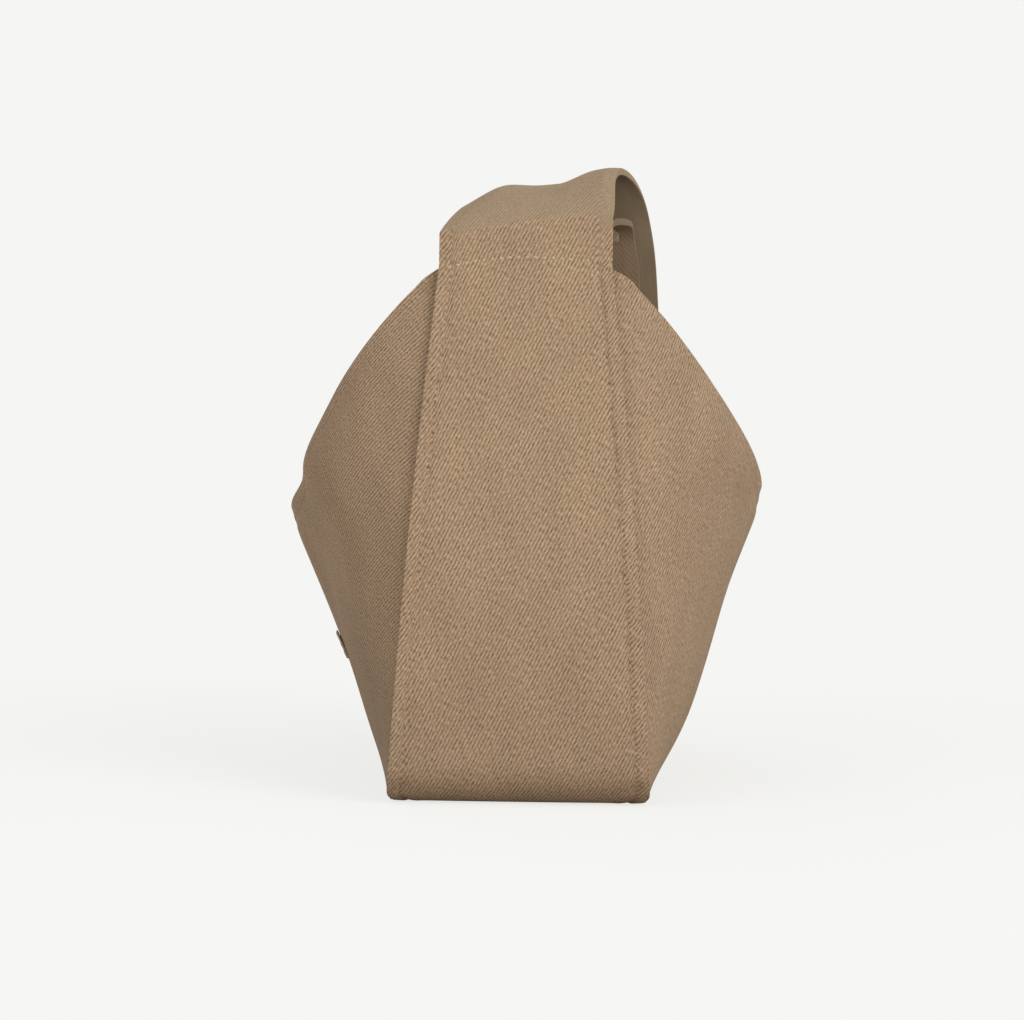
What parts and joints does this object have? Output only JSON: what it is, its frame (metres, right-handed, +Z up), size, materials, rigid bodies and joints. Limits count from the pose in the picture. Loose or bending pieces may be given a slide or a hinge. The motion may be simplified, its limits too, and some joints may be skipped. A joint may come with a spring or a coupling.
{
  "type": "knot bag",
  "caption": "Soft twill knot bag with a flat base, tapered end gussets, scooped side panels that flare to an open mouth, and a long and a short strap loop folded into the mouth.",
  "frame": {"origin": "middle of the base's underside", "axes": "+Z up, the bag's length along Y with the long handle's end at -Y, +X to the right seen from that end"},
  "size_m": [0.1935, 0.3, 0.2416],
  "materials": {
    "twill": "brushed cotton twill, camel, matte",
    "strap": "brushed cotton twill, camel, doubled and topstitched",
    "lining": "plain cotton lining, tan",
    "board": "plain stiffening sheet",
    "label": "blank woven tape"
  },
  "bodies": {
    "bag": {"base_panel": "twill", "near_end_gusset": "twill", "far_end_gusset": "twill", "left_panel": "twill", "right_panel": "twill", "base_board": "board", "base_lining": "lining", "near_end_lining": "lining", "far_end_lining": "lining", "left_lining": "lining", "right_lining": "lining", "label_patch": "label", "long_handle_root_outer": "strap", "long_handle_root_inner": "strap", "long_handle_fold_outer": "strap", "long_handle_fold_inner": "strap", "short_handle_root_outer": "strap", "short_handle_root_inner": "strap", "short_handle_fold_outer": "strap", "short_handle_fold_inner": "strap"},
    "long_handle_crest": {"long_handle_crest_outer": "strap", "long_handle_crest_inner": "strap", "long_handle_drop_outer": "strap", "long_handle_drop_inner": "strap"},
    "long_handle_loop": {"long_handle_loop": "strap"},
    "short_handle_crest": {"short_handle_crest_outer": "strap", "short_handle_crest_inner": "strap", "short_handle_drop_outer": "strap", "short_handle_drop_inner": "strap"},
    "short_handle_loop": {"short_handle_loop": "strap"}
  },
  "joints": [
    {"name": "long_handle_raise", "type": "hinge", "parent": "bag", "child": "long_handle_crest", "pos_m": [-0.0028, -0.1332, 0.22813], "axis": [0.9925, 0, 0.1219], "range_deg": [0, 90], "deforming": ["long_handle_fold_outer", "long_handle_fold_inner"]},
    {"name": "long_handle_unfold", "type": "hinge", "parent": "long_handle_crest", "child": "long_handle_loop", "pos_m": [-0.00268, -0.1032, 0.22714], "axis": [0.9925, 0, 0.1219], "range_deg": [0, 90], "deforming": ["long_handle_drop_outer", "long_handle_drop_inner"]},
    {"name": "short_handle_raise", "type": "hinge", "parent": "bag", "child": "short_handle_crest", "pos_m": [-0.00092, 0.13583, 0.21839], "axis": [-0.9976, 0, -0.0698], "range_deg": [0, 90], "deforming": ["short_handle_fold_outer", "short_handle_fold_inner"]},
    {"name": "short_handle_unfold", "type": "hinge", "parent": "short_handle_crest", "child": "short_handle_loop", "pos_m": [-0.00087, 0.11223, 0.21774], "axis": [-0.9976, 0, -0.0698], "range_deg": [0, 90], "deforming": ["short_handle_drop_outer", "short_handle_drop_inner"]}
  ]
}
